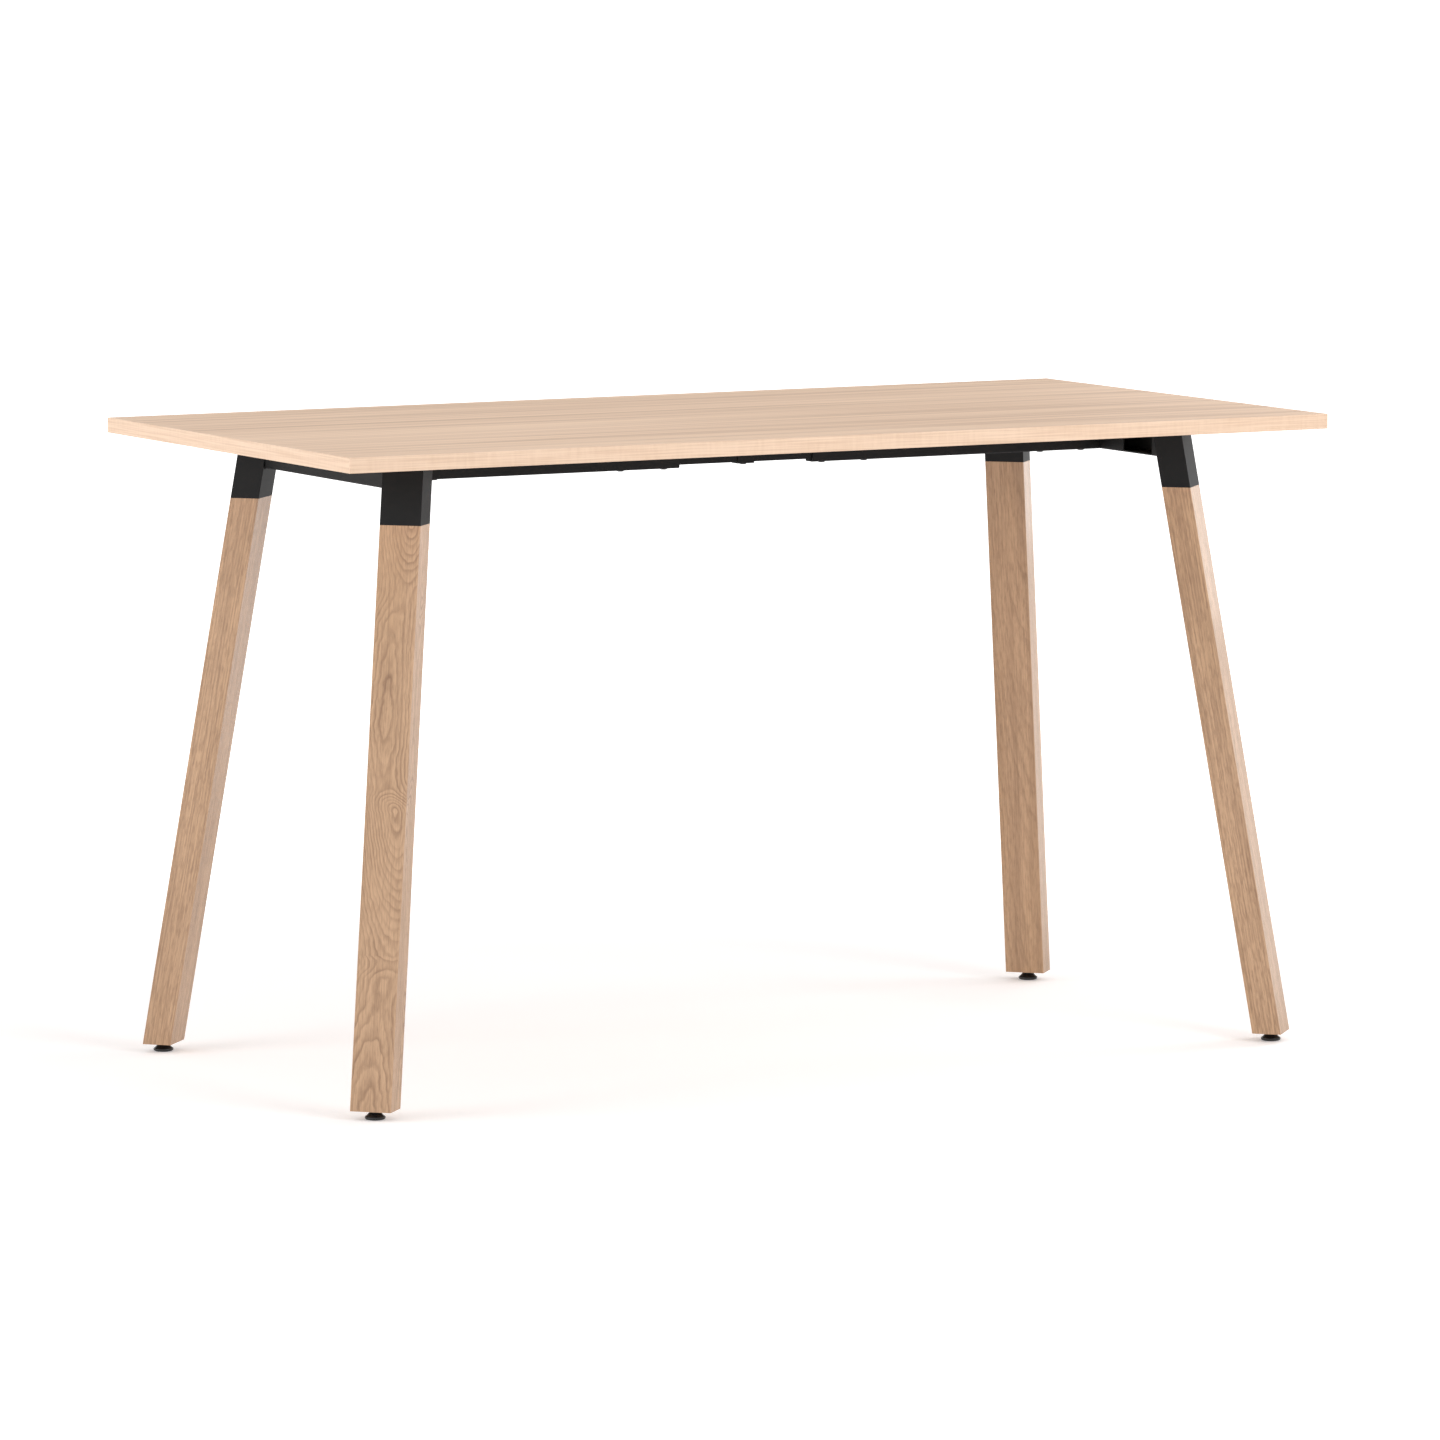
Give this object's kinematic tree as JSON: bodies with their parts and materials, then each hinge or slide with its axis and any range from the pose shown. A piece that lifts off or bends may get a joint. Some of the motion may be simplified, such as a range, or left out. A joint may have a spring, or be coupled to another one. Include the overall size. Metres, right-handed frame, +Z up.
{
  "type": "bar table",
  "caption": "Standing-height rectangular bar table with a wood-faced top, black steel frame, splayed oak legs in steel sockets and levelling feet.",
  "frame": {"origin": "on the floor, under the middle of the top", "axes": "+X along the top to the right, +Y to the back, +Z up"},
  "size_m": [1.8, 0.9, 1.05],
  "materials": {
    "top_decor": "satin wood-grain laminate",
    "edge_band": "matte edge band, lighter than the top",
    "oak": "clear matt lacquer",
    "black_steel": "fine matt powder coat",
    "black_screw": "black oxide",
    "zinc_steel": "zinc plated",
    "black_stud": "black oxide",
    "foot_plastic": "moulded, fine texture",
    "foot_rubber": "matt"
  },
  "bodies": {
    "table": {"top_board": "top_decor", "edge_band_front": "edge_band", "edge_band_back": "edge_band", "edge_band_left": "edge_band", "edge_band_right": "edge_band", "leg_front_left": "oak", "leg_front_right": "oak", "leg_back_left": "oak", "leg_back_right": "oak", "crossbar_left": "black_steel", "crossbar_right": "black_steel", "leg_socket_front_left": "black_steel", "leg_socket_front_right": "black_steel", "leg_socket_back_left": "black_steel", "leg_socket_back_right": "black_steel", "socket_cap_front_left": "black_steel", "socket_cap_front_right": "black_steel", "socket_cap_back_left": "black_steel", "socket_cap_back_right": "black_steel", "rail_stub_front_left": "black_steel", "rail_stub_front_right": "black_steel", "rail_stub_back_left": "black_steel", "rail_stub_back_right": "black_steel", "rail_tube_front_left": "black_steel", "rail_tube_front_right": "black_steel", "rail_tube_back_left": "black_steel", "rail_tube_back_right": "black_steel", "rail_bar_front": "black_steel", "rail_bar_back": "black_steel", "rail_collar_front": "black_steel", "rail_collar_back": "black_steel", "rail_clamp_screws": "black_screw", "rail_collar_screws": "black_screw", "top_fixing_screws": "zinc_steel", "leg_bolts": "zinc_steel", "leg_bolt_washers": "zinc_steel", "leg_insert_nuts": "zinc_steel", "foot_insert_nuts": "zinc_steel"},
    "pad_front_left": {"foot_pad_front_left": "foot_plastic", "foot_sole_front_left": "foot_rubber"},
    "stud_front_left": {"foot_stud_front_left": "black_stud"},
    "pad_front_right": {"foot_pad_front_right": "foot_plastic", "foot_sole_front_right": "foot_rubber"},
    "stud_front_right": {"foot_stud_front_right": "black_stud"},
    "pad_back_left": {"foot_pad_back_left": "foot_plastic", "foot_sole_back_left": "foot_rubber"},
    "stud_back_left": {"foot_stud_back_left": "black_stud"},
    "pad_back_right": {"foot_pad_back_right": "foot_plastic", "foot_sole_back_right": "foot_rubber"},
    "stud_back_right": {"foot_stud_back_right": "black_stud"}
  },
  "joints": [
    {"name": "foot_level_front_left", "type": "slide", "parent": "table", "child": "pad_front_left", "axis": [0, 0, -1], "range_m": [0, 0.015]},
    {"name": "foot_turn_front_left", "type": "hinge", "parent": "pad_front_left", "child": "stud_front_left", "pos_m": [-0.83393, -0.39393, 0.0129], "axis": [0, 0, -1], "range_deg": [0, 3600]},
    {"name": "foot_level_front_right", "type": "slide", "parent": "table", "child": "pad_front_right", "axis": [0, 0, -1], "range_m": [0, 0.015]},
    {"name": "foot_turn_front_right", "type": "hinge", "parent": "pad_front_right", "child": "stud_front_right", "pos_m": [0.83393, -0.39393, 0.0129], "axis": [0, 0, -1], "range_deg": [0, 3600]},
    {"name": "foot_level_back_left", "type": "slide", "parent": "table", "child": "pad_back_left", "axis": [0, 0, -1], "range_m": [0, 0.015]},
    {"name": "foot_turn_back_left", "type": "hinge", "parent": "pad_back_left", "child": "stud_back_left", "pos_m": [-0.83393, 0.39393, 0.0129], "axis": [0, 0, -1], "range_deg": [0, 3600]},
    {"name": "foot_level_back_right", "type": "slide", "parent": "table", "child": "pad_back_right", "axis": [0, 0, -1], "range_m": [0, 0.015]},
    {"name": "foot_turn_back_right", "type": "hinge", "parent": "pad_back_right", "child": "stud_back_right", "pos_m": [0.83393, 0.39393, 0.0129], "axis": [0, 0, -1], "range_deg": [0, 3600]}
  ],
  "couplings": [
    {"joint": "foot_turn_front_left", "follows": "foot_level_front_left", "rad_per_m": 4188.8},
    {"joint": "foot_turn_front_right", "follows": "foot_level_front_right", "rad_per_m": 4188.8},
    {"joint": "foot_turn_back_left", "follows": "foot_level_back_left", "rad_per_m": 4188.8},
    {"joint": "foot_turn_back_right", "follows": "foot_level_back_right", "rad_per_m": 4188.8}
  ]
}
